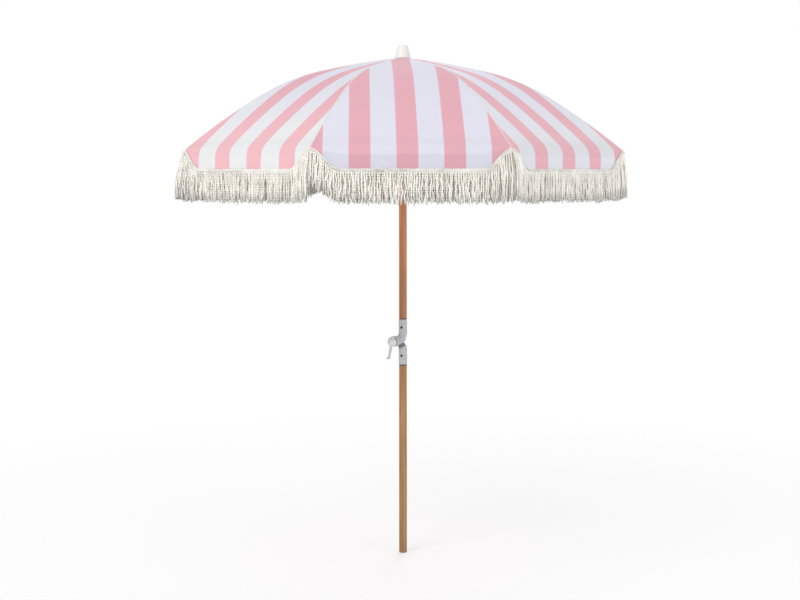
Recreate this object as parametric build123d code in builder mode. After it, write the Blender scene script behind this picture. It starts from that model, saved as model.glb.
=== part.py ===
"""Fringed tilting parasol: two-piece wooden pole, cast swivel knuckle, eight ribs and a fringed canopy.

Millimetres, +Z up. The origin is the centre of the pole's bottom end and the pole runs up the Z axis.
Ribs stand at 22.5 degrees plus steps of 45, so that a whole panel faces -Y. Everything under the canopy is
made once in the XZ plane, at azimuth 0, and turned round Z into its eight places.
"""
import math
import os

from build123d import *

os.makedirs("parts", exist_ok=True)

# ---- Pole -------------------------------------------------------------------------------------------
POLE_R = 16.0
POLE_TOP = 2008.0
TENON_R = 13.4              # turned-down pole ends inside the knuckle sockets
SOCKET_BORE_R = 13.5
POLE_END_CHAMFER = 1.5

# ---- Knuckle: both halves are bent sockets that meet on an inclined swivel axis -----------------------
SOCKET_R = 17.0
RIM_CHAMFER = 1.2
LOWER_EDGE = 773.0          # bottom rim of the lower socket
UPPER_EDGE = 957.0          # top rim of the upper socket
TENON_LENGTH = 44.0
TENON_GAP = 2.0             # free depth past the end of each tenon
SWIVEL_TILT = 28.0          # lean of the swivel axis from vertical, degrees
LOWER_BEND_START = 834.0
LOWER_BEND_R = 22.0
UPPER_BEND_START = 907.0
UPPER_BEND_R = 60.0
UPPER_BEND_ANGLE = 40.0
CORE_R = 13.0
CORE_RING_R = 14.5
CORE_RING_HEIGHT = 15.0     # dark ring seen between the two halves
CORE_REACH = 22.0           # core length inside the upper half
CORE_PLUG_R = 9.0
CORE_PLUG_DEPTH = 13.0
CORE_RING_TEETH = 24
COLLAR_START = 15.4         # face of the upper half, measured along the swivel axis
COLLAR_END = 41.0
FIT = 0.05                  # radial running clearance
SCREW_AZIMUTH = -112.0      # socket screws, with a second screw opposite
LOWER_SCREW_Z = 809.0
UPPER_SCREW_Z = 924.0
SCREW_HEAD_R = 4.6
SCREW_SHANK_R = 2.0
SCREW_SEAT = 15.9           # distance of the head's seat from the pole axis

# ---- Clamp: a big boss on the upper half, a screw through it and a hanging lever ---------------------
CLAMP_AZIMUTH = -131.0      # direction the clamp points, in plan
CLAMP_CENTRE = (-15.7, 0.0, 869.0)
BOSS_R = 21.0
BOSS_BACK, BOSS_FRONT = -17.0, 39.0
WASHER_R = 18.0
LEVER_HUB_R = 19.5
LEVER_BACK, LEVER_FRONT = 43.0, 51.0
CLAMP_SCREW_R = 5.0
CLAMP_SCREW_TIP = 15.4
LEVER_CAP = 3.0             # closed end of the lever's hub, over the screw
LEVER_REACH = 70.0
LEVER_LEAN = 12.0
LEVER_WIDTH = 12.0          # at the hub; the arm narrows to LEVER_TIP_WIDTH
LEVER_TIP_WIDTH = 8.0
LEVER_THICKNESS = 6.0
LEVER_LIP = 7.0             # turned-out end for the finger, in front of the arm

# ---- Canopy frame ------------------------------------------------------------------------------------
RIB_COUNT = 8
FIRST_AZIMUTH = -112.5
STEP = 360 / RIB_COUNT
HALF_STEP = STEP / 2
HUB_R = 25.0                # pivot circle of the crown and of the runner
CROWN_PIVOT_Z = 2013.0
CROWN_BOTTOM = 1972.0       # lower end of the crown's sleeve round the pole
ROD_R = 2.1
RIB_ANGLES = (8.0, 14.0, 32.0, 39.0)        # slope of the rib at the ends of its three arcs, degrees
RIB_RUNS = (HUB_R, 350.0, 615.0, 884.0)     # radius reached at those ends
BRACKET_RADIUS = 430.0      # distance from the pole axis of the rib bracket
BRACKET_DROP = 9.0          # stretcher pivot below the rib's centre line
BRACKET_HALF = 12.0         # half the bracket's length along the rib
CHEEK = 2.2                 # thickness of each of its two cheeks
EYE_R = 4.2
EYE_THICKNESS = 4.4
PIN_R = 1.5
PIN_LENGTH = 15.0
SLOT_WIDTH = 5.4
HUB_SLEEVE_R = 20.3
FLANGE_R = 31.0
FLANGE_HALF = 6.0
CAP_R = 2.8
CAP_LENGTH = 13.0
TIP_LOOP_R = 3.4            # cross eye at the rib tip
TIP_LOOP_BORE_R = 1.4
TIP_LOOP_AHEAD = 5.0        # its centre past the end of the rod
TIP_LOOP_DROP = 1.5         # and below the rod's centre line

# ---- Runner lock -------------------------------------------------------------------------------------
RUNNER_BORE_R = 16.6
RUNNER_LENGTH = 78.0
LOCK_DROP = 48.0            # lock pin below the runner's pivots
LOCK_R = 3.0
LOCK_HOLE_DEPTH = 9.0
LOCK_BOSS_R = 8.0
LOCK_BOSS_REACH = 33.0
LOCK_KNOB_R = 9.0
FOLD_ANGLE = 65.0           # how far each rib swings down

# ---- Canopy, valance and fringe ----------------------------------------------------------------------
CLOTH = 1.0
CLOTH_LIFT = 3.4            # cloth above the rib's centre line
GORE_START_R = 36.0
RIM_R = 900.0               # corner of the canopy at a rib tip
SEAM_GAP = 0.5              # from the middle of a panel to the edge of each half
HEM_DROP = 74.0             # straight hem below the rim
HEM_CURVE = 100.0           # length of the curve from the rib tip down to the straight hem
FRINGE_LENGTH = 122.0
FRINGE_THICKNESS = 5.0
CORNER_DROP = 9.0           # depth of the valance at a rib tip
CORNER_REACH = 166.0        # depth reached by the bunched fringe at a rib tip

# ---- Finial ------------------------------------------------------------------------------------------
FINIAL_BASE_Z = 2018.5
FINIAL_TOP_Z = 2070.0
FINIAL_BASE_R = 32.0
FINIAL_TOP_R = 20.0
FINIAL_WALL = 3.0
STUD_R = 4.0
STUD_DEPTH = 22.0


def sin(deg):
    return math.sin(math.radians(deg))


def cos(deg):
    return math.cos(math.radians(deg))


def save(part, name, azimuth=0.0):
    """Writes a finished piece, turned round Z into its place."""
    placed = part.rotate(Axis.Z, azimuth) if azimuth else part
    placed.label = name
    export_step(placed, f"parts/{name}.step")


# ---- Shapes that several pieces share ----------------------------------------------------------------
def rib_arcs():
    """Radius of curvature and end height of each of the rib's three tangent arcs."""
    height, found = CROWN_PIVOT_Z, []
    for i in range(3):
        a, b = RIB_ANGLES[i], RIB_ANGLES[i + 1]
        radius = (RIB_RUNS[i + 1] - RIB_RUNS[i]) / (sin(b) - sin(a))
        found.append((radius, height))
        height -= radius * (cos(a) - cos(b))
    return found, height


ARCS, TIP_Z = rib_arcs()


def rib_height(r):
    """Height of the rib's centre line at distance r from the pole axis."""
    i = 0 if r <= RIB_RUNS[1] else 1 if r <= RIB_RUNS[2] else 2
    radius, start = ARCS[i]
    s = sin(RIB_ANGLES[i]) + (r - RIB_RUNS[i]) / radius
    return start - radius * (cos(RIB_ANGLES[i]) - math.sqrt(1 - s * s))


BRACKET_Z = rib_height(BRACKET_RADIUS) - BRACKET_DROP
STRETCH = math.hypot(BRACKET_RADIUS - HUB_R, CROWN_PIVOT_Z - BRACKET_Z)
OPEN_ANGLE = math.degrees(math.asin((CROWN_PIVOT_Z - BRACKET_Z) / STRETCH))
# the stretcher is as long as crown pivot to bracket, so its foot always stays on the pivot circle
RUNNER_Z = CROWN_PIVOT_Z - 2 * STRETCH * sin(OPEN_ANGLE)
RUNNER_CLOSED_Z = CROWN_PIVOT_Z - 2 * STRETCH * sin(OPEN_ANGLE + FOLD_ANGLE)

LOWER_BEND_END = Vector(
    -LOWER_BEND_R * (1 - cos(SWIVEL_TILT)), 0, LOWER_BEND_START + LOWER_BEND_R * sin(SWIVEL_TILT)
)
SWIVEL_DIR = Vector(-sin(SWIVEL_TILT), 0, cos(SWIVEL_TILT))
CLAMP_DIR = Vector(cos(CLAMP_AZIMUTH), sin(CLAMP_AZIMUTH), 0)


def swivel_plane(along):
    """Plane square to the swivel axis, a distance along it from the lower half's face."""
    return Plane(LOWER_BEND_END + SWIVEL_DIR * along, x_dir=(0, 1, 0), z_dir=SWIVEL_DIR)


def clamp_plane(along):
    """Plane square to the clamp screw, whose local -Y points down."""
    origin = Vector(*CLAMP_CENTRE) + CLAMP_DIR * along
    return Plane(origin, x_dir=Vector(0, 0, 1).cross(CLAMP_DIR), z_dir=CLAMP_DIR)


def lever_plane(along):
    """Clamp plane turned in itself so that its local -Y runs down the leaning arm."""
    upright = clamp_plane(along)
    leaning = upright.x_dir * cos(LEVER_LEAN) - upright.y_dir * sin(LEVER_LEAN)
    return Plane(upright.origin, x_dir=leaning, z_dir=CLAMP_DIR)


def screw_plane(height, azimuth):
    """Plane through the pole axis facing out along a socket screw."""
    return Plane((0, 0, height), x_dir=(0, 0, 1), z_dir=(cos(azimuth), sin(azimuth), 0))


def screw_azimuths():
    return (SCREW_AZIMUTH, SCREW_AZIMUTH + 180)


def drill_screws(height):
    """Seats and clearance holes for a pair of socket screws."""
    for azimuth in screw_azimuths():
        with BuildSketch(screw_plane(height, azimuth)) as hole:
            Circle(SCREW_SHANK_R + FIT)
        extrude(hole.sketch, amount=SOCKET_R + 1, mode=Mode.SUBTRACT)
        with BuildSketch(screw_plane(height, azimuth).offset(SCREW_SEAT)) as seat:
            Circle(SCREW_HEAD_R + 0.3)
        extrude(seat.sketch, amount=3, mode=Mode.SUBTRACT)


def drill_pole(height):
    """Blind pilot holes in a tenon, one for each screw of a pair."""
    for azimuth in screw_azimuths():
        with BuildSketch(screw_plane(height, azimuth).offset(4)) as hole:
            Circle(SCREW_SHANK_R + FIT)
        extrude(hole.sketch, amount=TENON_R, mode=Mode.SUBTRACT)


# ---- Wooden poles ------------------------------------------------------------------------------------
with BuildPart() as lower_pole:
    with BuildSketch():
        Circle(POLE_R)
    extrude(amount=LOWER_EDGE)
    chamfer(lower_pole.edges().group_by(Axis.Z)[0], POLE_END_CHAMFER)
    with BuildSketch(Plane.XY.offset(LOWER_EDGE)):
        Circle(TENON_R)
    extrude(amount=TENON_LENGTH)
    drill_pole(LOWER_SCREW_Z)
save(lower_pole.part, "lower_pole")

with BuildPart() as upper_pole:
    with BuildSketch(Plane.XY.offset(UPPER_EDGE)):
        Circle(POLE_R)
    extrude(amount=POLE_TOP - UPPER_EDGE)
    with BuildSketch(Plane.XY.offset(UPPER_EDGE)):
        Circle(TENON_R)
    extrude(amount=-TENON_LENGTH)
    drill_pole(UPPER_SCREW_Z)
    with BuildSketch(Plane.XY.offset(POLE_TOP)):
        Circle(STUD_R + FIT)
    extrude(amount=-STUD_DEPTH, mode=Mode.SUBTRACT)
    for lock_z in (RUNNER_Z - LOCK_DROP, RUNNER_CLOSED_Z - LOCK_DROP):
        with BuildSketch(Plane((-POLE_R + LOCK_HOLE_DEPTH, 0, lock_z), z_dir=(-1, 0, 0))):
            Circle(LOCK_R + 0.3)
        extrude(amount=LOCK_HOLE_DEPTH + 2, mode=Mode.SUBTRACT)
save(upper_pole.part, "upper_pole")

# ---- Knuckle -----------------------------------------------------------------------------------------
with BuildPart() as lower_knuckle:
    with BuildSketch(Plane.XY.offset(LOWER_EDGE)):
        Circle(SOCKET_R)
    extrude(amount=LOWER_BEND_START - LOWER_EDGE)
    with BuildLine(Plane.XZ) as lower_bend:
        CenterArc((-LOWER_BEND_R, LOWER_BEND_START), LOWER_BEND_R, 0, SWIVEL_TILT)
    with BuildSketch(Plane.XY.offset(LOWER_BEND_START)):
        Circle(SOCKET_R)
    sweep(path=lower_bend.wire())
    chamfer(lower_knuckle.faces().sort_by(Axis.Z)[0].edges(), RIM_CHAMFER)
    with BuildSketch(Plane.XY.offset(LOWER_EDGE)):
        Circle(SOCKET_BORE_R)
    extrude(amount=TENON_LENGTH + TENON_GAP, mode=Mode.SUBTRACT)
    with BuildSketch(swivel_plane(0)):
        Circle(CORE_PLUG_R)
    extrude(amount=-CORE_PLUG_DEPTH, mode=Mode.SUBTRACT)
    drill_screws(LOWER_SCREW_Z)
save(lower_knuckle.part, "lower_knuckle")

with BuildPart() as swivel_core:
    with BuildSketch(swivel_plane(-CORE_PLUG_DEPTH + 0.5)):
        Circle(CORE_PLUG_R)
    extrude(amount=CORE_PLUG_DEPTH - 0.5)
    with BuildSketch(swivel_plane(0)):
        Circle(CORE_RING_R)
        with PolarLocations(CORE_RING_R, CORE_RING_TEETH):
            Circle(0.8, mode=Mode.SUBTRACT)
    extrude(amount=CORE_RING_HEIGHT)
    with BuildSketch(swivel_plane(CORE_RING_HEIGHT)):
        Circle(CORE_R)
    extrude(amount=CORE_REACH)
    chamfer(swivel_core.faces().sort_by(Axis(LOWER_BEND_END, SWIVEL_DIR))[-1].edges(), 1)
save(swivel_core.part, "swivel_core")

with BuildPart() as upper_knuckle:
    with BuildSketch(Plane.XY.offset(UPPER_BEND_START)):
        Circle(SOCKET_R)
    extrude(amount=UPPER_EDGE - UPPER_BEND_START)
    with BuildLine(Plane.XZ) as upper_bend:
        CenterArc((-UPPER_BEND_R, UPPER_BEND_START), UPPER_BEND_R, 0, -UPPER_BEND_ANGLE)
    with BuildSketch(Plane.XY.offset(UPPER_BEND_START)):
        Circle(SOCKET_R)
    sweep(path=upper_bend.wire())
    with BuildSketch(swivel_plane(COLLAR_START)):
        Circle(SOCKET_R)
    extrude(amount=COLLAR_END - COLLAR_START)
    with BuildSketch(clamp_plane(BOSS_BACK)):
        Circle(BOSS_R)
    extrude(amount=BOSS_FRONT - BOSS_BACK)
    # the face towards the lower half is flat and square to the swivel axis
    with BuildSketch(swivel_plane(COLLAR_START)):
        Circle(4 * SOCKET_R)
    extrude(amount=-4 * SOCKET_R, mode=Mode.SUBTRACT)
    chamfer(upper_knuckle.faces().sort_by(Axis.Z)[-1].edges(), RIM_CHAMFER)
    boss_face = upper_knuckle.faces().sort_by(Axis(CLAMP_CENTRE, CLAMP_DIR))[-1]
    fillet(boss_face.edges(), 1.5)
    with BuildSketch(swivel_plane(COLLAR_START)):
        Circle(CORE_R + FIT)
    extrude(amount=CORE_REACH + 1, mode=Mode.SUBTRACT)
    with BuildSketch(Plane.XY.offset(UPPER_EDGE)):
        Circle(SOCKET_BORE_R)
    extrude(amount=-(TENON_LENGTH + TENON_GAP), mode=Mode.SUBTRACT)
    with BuildSketch(clamp_plane(CORE_R / 2)):
        Circle(CLAMP_SCREW_R + FIT)
    extrude(amount=BOSS_FRONT, mode=Mode.SUBTRACT)
    drill_screws(UPPER_SCREW_Z)
save(upper_knuckle.part, "upper_knuckle")

with BuildPart() as clamp_washer:
    with BuildSketch(clamp_plane(BOSS_FRONT + 0.2)):
        Circle(WASHER_R)
        Circle(CLAMP_SCREW_R + FIT, mode=Mode.SUBTRACT)
    extrude(amount=LEVER_BACK - BOSS_FRONT - 0.4)
save(clamp_washer.part, "clamp_washer")

with BuildPart() as clamp_screw:
    with BuildSketch(clamp_plane(CLAMP_SCREW_TIP)):
        Circle(CLAMP_SCREW_R)
    extrude(amount=LEVER_FRONT - LEVER_CAP - 0.5 - CLAMP_SCREW_TIP)
save(clamp_screw.part, "clamp_screw")

with BuildPart() as clamp_lever:
    with BuildSketch(clamp_plane(LEVER_BACK)):
        Circle(LEVER_HUB_R)
    extrude(amount=LEVER_FRONT - LEVER_BACK)
    # the arm hangs down and leans outwards, tapering towards a turned-out end
    with BuildSketch(lever_plane(LEVER_BACK + 1)):
        with BuildLine():
            Polyline(
                (LEVER_WIDTH / 2, 0),
                (LEVER_TIP_WIDTH / 2, -LEVER_REACH),
                (-LEVER_TIP_WIDTH / 2, -LEVER_REACH),
                (-LEVER_WIDTH / 2, 0),
                close=True,
            )
        make_face()
    extrude(amount=LEVER_THICKNESS)
    with BuildSketch(lever_plane(LEVER_BACK + 1)):
        with Locations((-1.5, -LEVER_REACH)):
            RectangleRounded(LEVER_TIP_WIDTH + 3, 6, 2.5)
    extrude(amount=LEVER_THICKNESS + LEVER_LIP)
    with BuildSketch(clamp_plane(LEVER_BACK)):
        Circle(CLAMP_SCREW_R + FIT)
    extrude(amount=LEVER_FRONT - LEVER_BACK - LEVER_CAP, mode=Mode.SUBTRACT)
    fillet(clamp_lever.edges().filter_by(GeomType.CIRCLE).sort_by(Axis(CLAMP_CENTRE, CLAMP_DIR))[-1], 2)
save(clamp_lever.part, "clamp_lever")


def socket_screws(height):
    """A pair of domed socket screws, head outwards."""
    with BuildPart() as screws:
        for azimuth in screw_azimuths():
            with BuildSketch(screw_plane(height, azimuth).offset(5)):
                Circle(SCREW_SHANK_R)
            extrude(amount=SCREW_SEAT - 4)
            with BuildSketch(screw_plane(height, azimuth).offset(SCREW_SEAT + FIT)):
                Circle(SCREW_HEAD_R)
            extrude(amount=1.8)
    return screws.part


save(socket_screws(LOWER_SCREW_Z), "lower_socket_screws")
save(socket_screws(UPPER_SCREW_Z), "upper_socket_screws")


# ---- Crown, finial and runner ------------------------------------------------------------------------
def hub_slots(height):
    """Eight open slots in a flange, each with a hole across it for its pivot pin."""
    with BuildSketch(Plane.XY.offset(height - FLANGE_HALF - 1)) as slots:
        with PolarLocations((HUB_SLEEVE_R + FLANGE_R + 2) / 2, RIB_COUNT, HALF_STEP):
            Rectangle(FLANGE_R + 2 - HUB_SLEEVE_R, SLOT_WIDTH)
    extrude(slots.sketch, amount=2 * FLANGE_HALF + 2, mode=Mode.SUBTRACT)
    for i in range(RIB_COUNT):
        with BuildSketch(pin_plane(height, HALF_STEP + i * STEP)) as hole:
            Circle(PIN_R)
        extrude(hole.sketch, amount=PIN_LENGTH / 2, both=True, mode=Mode.SUBTRACT)


def pin_plane(height, azimuth):
    """Plane at a pivot of the hub circle, square to its pin."""
    return Plane(
        (HUB_R * cos(azimuth), HUB_R * sin(azimuth), height),
        x_dir=(0, 0, 1),
        z_dir=(-sin(azimuth), cos(azimuth), 0),
    )


def pivot_pins(height):
    """The eight steel pins of a hub."""
    with BuildPart() as pins:
        for i in range(RIB_COUNT):
            with BuildSketch(pin_plane(height, HALF_STEP + i * STEP)):
                Circle(PIN_R)
            extrude(amount=PIN_LENGTH / 2, both=True)
    return pins.part


with BuildPart() as crown:
    with BuildSketch(Plane.XY.offset(CROWN_BOTTOM)):
        Circle(HUB_SLEEVE_R)
    extrude(amount=CROWN_PIVOT_Z - CROWN_BOTTOM)
    with BuildSketch(Plane.XY.offset(CROWN_PIVOT_Z - FLANGE_HALF)):
        Circle(FLANGE_R)
    extrude(amount=2 * FLANGE_HALF - 1)
    with BuildSketch(Plane.XY.offset(CROWN_BOTTOM)):
        Circle(POLE_R + FIT)
    extrude(amount=POLE_TOP - CROWN_BOTTOM + 0.2, mode=Mode.SUBTRACT)
    with BuildSketch(Plane.XY.offset(POLE_TOP)):
        Circle(STUD_R + FIT)
    extrude(amount=20, mode=Mode.SUBTRACT)
    hub_slots(CROWN_PIVOT_Z)
save(crown.part, "crown")
save(pivot_pins(CROWN_PIVOT_Z), "crown_pins")

with BuildPart() as finial:
    with BuildSketch(Plane.XZ):
        with BuildLine():
            Polyline(
                (0, FINIAL_BASE_Z),
                (FINIAL_BASE_R, FINIAL_BASE_Z),
                (FINIAL_TOP_R, FINIAL_TOP_Z),
                (0, FINIAL_TOP_Z),
                close=True,
            )
        make_face()
    revolve(axis=Axis.Z)
    fillet(finial.edges().filter_by(GeomType.CIRCLE).group_by(Axis.Z)[-1], 2)
    with BuildSketch(Plane.XZ):
        with BuildLine():
            Polyline(
                (STUD_R + 5, FINIAL_BASE_Z),
                (FINIAL_BASE_R - FINIAL_WALL, FINIAL_BASE_Z),
                (FINIAL_TOP_R - FINIAL_WALL, FINIAL_TOP_Z - FINIAL_WALL),
                (STUD_R + 5, FINIAL_TOP_Z - FINIAL_WALL),
                close=True,
            )
        make_face()
    revolve(axis=Axis.Z, mode=Mode.SUBTRACT)
    with BuildSketch(Plane.XY.offset(FINIAL_BASE_Z)):
        Circle(STUD_R)
    extrude(amount=20, mode=Mode.SUBTRACT)
save(finial.part, "finial")

with BuildPart() as finial_stud:
    with BuildSketch(Plane.XY.offset(POLE_TOP - STUD_DEPTH + 1)):
        Circle(STUD_R)
    extrude(amount=FINIAL_BASE_Z + 19 - (POLE_TOP - STUD_DEPTH + 1))
    chamfer(finial_stud.edges().group_by(Axis.Z)[0], 1)
save(finial_stud.part, "finial_stud")

with BuildPart() as runner:
    with BuildSketch(Plane.XY.offset(RUNNER_Z + FLANGE_HALF - RUNNER_LENGTH)):
        Circle(HUB_SLEEVE_R)
    extrude(amount=RUNNER_LENGTH)
    with BuildSketch(Plane.XY.offset(RUNNER_Z - FLANGE_HALF)):
        Circle(FLANGE_R)
    extrude(amount=2 * FLANGE_HALF)
    with BuildSketch(Plane.XY.offset(RUNNER_Z + FLANGE_HALF - RUNNER_LENGTH)):
        Circle(HUB_SLEEVE_R + 3)
    extrude(amount=8)
    with BuildSketch(Plane((0, 0, RUNNER_Z - LOCK_DROP), z_dir=(-1, 0, 0))):
        Circle(LOCK_BOSS_R)
    extrude(amount=LOCK_BOSS_REACH)
    with BuildSketch(Plane.XY.offset(RUNNER_Z + FLANGE_HALF - RUNNER_LENGTH)):
        Circle(RUNNER_BORE_R)
    extrude(amount=RUNNER_LENGTH, mode=Mode.SUBTRACT)
    with BuildSketch(Plane((0, 0, RUNNER_Z - LOCK_DROP), z_dir=(-1, 0, 0))):
        Circle(LOCK_R + FIT)
    extrude(amount=LOCK_BOSS_REACH, mode=Mode.SUBTRACT)
    hub_slots(RUNNER_Z)
save(runner.part, "runner")
save(pivot_pins(RUNNER_Z), "runner_pins")

with BuildPart() as lock_knob:
    with BuildSketch(Plane((-RUNNER_BORE_R - 0.1, 0, RUNNER_Z - LOCK_DROP), z_dir=(-1, 0, 0))):
        Circle(LOCK_R)
    extrude(amount=LOCK_BOSS_REACH + 8 - RUNNER_BORE_R)
    with BuildSketch(Plane((-LOCK_BOSS_REACH - 7.5, 0, RUNNER_Z - LOCK_DROP), z_dir=(-1, 0, 0))):
        Circle(LOCK_KNOB_R)
    extrude(amount=12)
    fillet(lock_knob.faces().sort_by(Axis.X)[0].edges(), 2)
save(lock_knob.part, "lock_knob")

# ---- One rib, its fittings and its stretcher, at azimuth 0 --------------------------------------------
def rib_slope(r):
    """Slope of the rib below horizontal at distance r from the pole axis, degrees."""
    i = 0 if r <= RIB_RUNS[1] else 1 if r <= RIB_RUNS[2] else 2
    return math.degrees(math.asin(sin(RIB_ANGLES[i]) + (r - RIB_RUNS[i]) / ARCS[i][0]))


def across_rib(r):
    """Plane square to the rib at distance r, facing outwards along it."""
    slope = rib_slope(r)
    return Plane((r, 0, rib_height(r)), x_dir=(0, 1, 0), z_dir=(cos(slope), 0, -sin(slope)))


def tangent_plane(r, height):
    """Plane square to a hinge pin that crosses the rib's plane at this radius and height."""
    return Plane((r, 0, height), x_dir=(1, 0, 0), z_dir=(0, -1, 0))


RIB_START = HUB_R + EYE_R - 1
RIB_END = RIB_RUNS[3]
TIP_LOOP_RUN = RIB_END + TIP_LOOP_AHEAD * cos(RIB_ANGLES[3]) - TIP_LOOP_DROP * sin(RIB_ANGLES[3])
TIP_LOOP_Z = TIP_Z - TIP_LOOP_AHEAD * sin(RIB_ANGLES[3]) - TIP_LOOP_DROP * cos(RIB_ANGLES[3])

with BuildPart() as rib:
    with BuildLine(Plane.XZ) as rib_path:
        ends = (RIB_START, RIB_RUNS[1], RIB_RUNS[2], RIB_RUNS[3])
        for r0, r1 in zip(ends, ends[1:]):
            middle = (r0 + r1) / 2
            ThreePointArc((r0, rib_height(r0)), (middle, rib_height(middle)), (r1, rib_height(r1)))
    with BuildSketch(across_rib(RIB_START)):
        Circle(ROD_R)
    sweep(path=rib_path.wire())
    # flat eye on the crown pin
    with BuildSketch(tangent_plane(HUB_R, CROWN_PIVOT_Z)):
        Circle(EYE_R)
    extrude(amount=EYE_THICKNESS / 2, both=True)
    with BuildSketch(tangent_plane(HUB_R, CROWN_PIVOT_Z)):
        Circle(PIN_R + FIT)
    extrude(amount=EYE_THICKNESS, both=True, mode=Mode.SUBTRACT)
    # bracket under the rib with two cheeks and the rivet that the stretcher swings on
    bracket_centre = across_rib(BRACKET_RADIUS).origin
    slope_here = rib_slope(BRACKET_RADIUS)
    along = Plane(bracket_centre, x_dir=(cos(slope_here), 0, -sin(slope_here)), z_dir=(0, -1, 0))
    pivot = along.to_local_coords(Vector(BRACKET_RADIUS, 0, BRACKET_Z))
    with BuildSketch(along):
        with BuildLine():
            Polyline(
                (-BRACKET_HALF, ROD_R),
                (BRACKET_HALF, ROD_R),
                (BRACKET_HALF, -1.7 * ROD_R),
                (pivot.X + EYE_R + 1, pivot.Y),
                (pivot.X - EYE_R - 1, pivot.Y),
                (-BRACKET_HALF, -1.7 * ROD_R),
                close=True,
            )
        make_face()
        with Locations((pivot.X, pivot.Y)):
            Circle(EYE_R + 1)
    extrude(amount=EYE_THICKNESS / 2 + CHEEK, both=True)
    # the stretcher's eye has room between the cheeks
    with BuildSketch(along):
        with Locations((0, pivot.Y + EYE_R + 0.5)):
            Rectangle(4 * BRACKET_HALF, 4 * EYE_R, align=(Align.CENTER, Align.MAX))
    extrude(amount=EYE_THICKNESS / 2 + 0.3, both=True, mode=Mode.SUBTRACT)
    with BuildSketch(tangent_plane(BRACKET_RADIUS, BRACKET_Z)):
        Circle(PIN_R)
    extrude(amount=EYE_THICKNESS / 2 + 3, both=True)
    # cap on the rib's tip, with a small cross eye that the canopy's corner is tied to
    with BuildSketch(across_rib(RIB_END).offset(2 - CAP_LENGTH)):
        Circle(CAP_R)
    extrude(amount=CAP_LENGTH)
    with BuildSketch(tangent_plane(TIP_LOOP_RUN, TIP_LOOP_Z)):
        Circle(TIP_LOOP_R)
    extrude(amount=2, both=True)
    with BuildSketch(tangent_plane(TIP_LOOP_RUN, TIP_LOOP_Z)):
        Circle(TIP_LOOP_BORE_R)
    extrude(amount=3, both=True, mode=Mode.SUBTRACT)

with BuildPart() as stretcher:
    lean = Vector(BRACKET_RADIUS - HUB_R, 0, BRACKET_Z - RUNNER_Z).normalized()
    with BuildSketch(Plane(Vector(HUB_R, 0, RUNNER_Z) + lean * (EYE_R - 1), z_dir=lean)):
        Circle(ROD_R)
    extrude(amount=STRETCH - 2 * EYE_R + 2)
    for eye_r, eye_z in ((HUB_R, RUNNER_Z), (BRACKET_RADIUS, BRACKET_Z)):
        with BuildSketch(tangent_plane(eye_r, eye_z)):
            Circle(EYE_R)
        extrude(amount=EYE_THICKNESS / 2, both=True)
        with BuildSketch(tangent_plane(eye_r, eye_z)):
            Circle(PIN_R + FIT)
        extrude(amount=EYE_THICKNESS, both=True, mode=Mode.SUBTRACT)

# ---- Canopy cloth, valance and fringe round one rib, at azimuth 0 -------------------------------------
PANEL_SCALE = cos(HALF_STEP)    # a panel is ruled straight across, so its middle is nearer the pole
CORNER_U = RIM_R * sin(HALF_STEP)


def cloth_curve(lift):
    """Points of the cloth in the plane of a rib, a distance above the rib's centre line."""
    points = []
    for r in [GORE_START_R + (RIB_END - GORE_START_R) * k / 14 for k in range(15)]:
        slope = rib_slope(r)
        points.append((r + lift * sin(slope), rib_height(r) + lift * cos(slope)))
    reach = (RIM_R - points[-1][0]) / cos(RIB_ANGLES[3])
    points.append((RIM_R, points[-1][1] - reach * sin(RIB_ANGLES[3])))
    return points


RIM_Z = cloth_curve(CLOTH_LIFT)[-1][1]


def panel_section():
    """Plane through the pole axis and the middle of the panel next to the rib, just past its middle."""
    radial = (cos(HALF_STEP), -sin(HALF_STEP), 0)
    section = Plane((0, 0, 0), x_dir=radial, z_dir=(-sin(HALF_STEP), -cos(HALF_STEP), 0))
    return section.offset(-SEAM_GAP)


def hanging_plane(radius):
    """Upright plane of a panel's edge: local X runs from the panel's middle to the rib, local Y is up."""
    outward = Vector(cos(HALF_STEP), -sin(HALF_STEP), 0)
    return Plane(outward * radius, x_dir=(sin(HALF_STEP), cos(HALF_STEP), 0), z_dir=outward)


def finish_at_rib():
    """Trims a half panel at the rib's plane and adds its mirror image."""
    with BuildSketch(Plane.XZ) as far_side:
        with Locations((0, 1500)):
            Rectangle(2500, 2500)
    extrude(far_side.sketch, amount=-600, mode=Mode.SUBTRACT)
    mirror(about=Plane.XZ)


with BuildPart() as gore:
    with BuildSketch(panel_section()):
        with BuildLine():
            inner = [(r * PANEL_SCALE, z) for r, z in cloth_curve(CLOTH_LIFT)]
            outer = [(r * PANEL_SCALE, z) for r, z in cloth_curve(CLOTH_LIFT + CLOTH)]
            Spline(*inner)
            Line(inner[-1], outer[-1])
            Spline(*outer)
            Line(outer[0], inner[0])
        make_face()
    extrude(amount=-CORNER_U - 20)
    finish_at_rib()


def lower_edge(depth, corner_depth):
    """Adds an edge this far below the rim, from the panel's middle to past the rib, rising at the corner."""
    straight = RIM_Z - depth
    corner = RIM_Z - corner_depth
    start = Line((SEAM_GAP, straight), (CORNER_U - HEM_CURVE, straight))
    rise = Bezier(
        start @ 1,
        (CORNER_U - 0.6 * HEM_CURVE, straight),
        (CORNER_U - 0.4 * HEM_CURVE, corner),
        (CORNER_U, corner),
    )
    return Line(rise @ 1, (CORNER_U + 10, corner))


with BuildPart() as valance:
    with BuildSketch(hanging_plane(RIM_R * PANEL_SCALE - CLOTH - 0.4)):
        with BuildLine():
            end = lower_edge(HEM_DROP, CORNER_DROP)
            Polyline(
                end @ 1,
                (CORNER_U + 10, RIM_Z - 1.5),
                (SEAM_GAP, RIM_Z - 1.5),
                (SEAM_GAP, RIM_Z - HEM_DROP),
            )
        make_face()
    extrude(amount=CLOTH)
    finish_at_rib()

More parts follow.
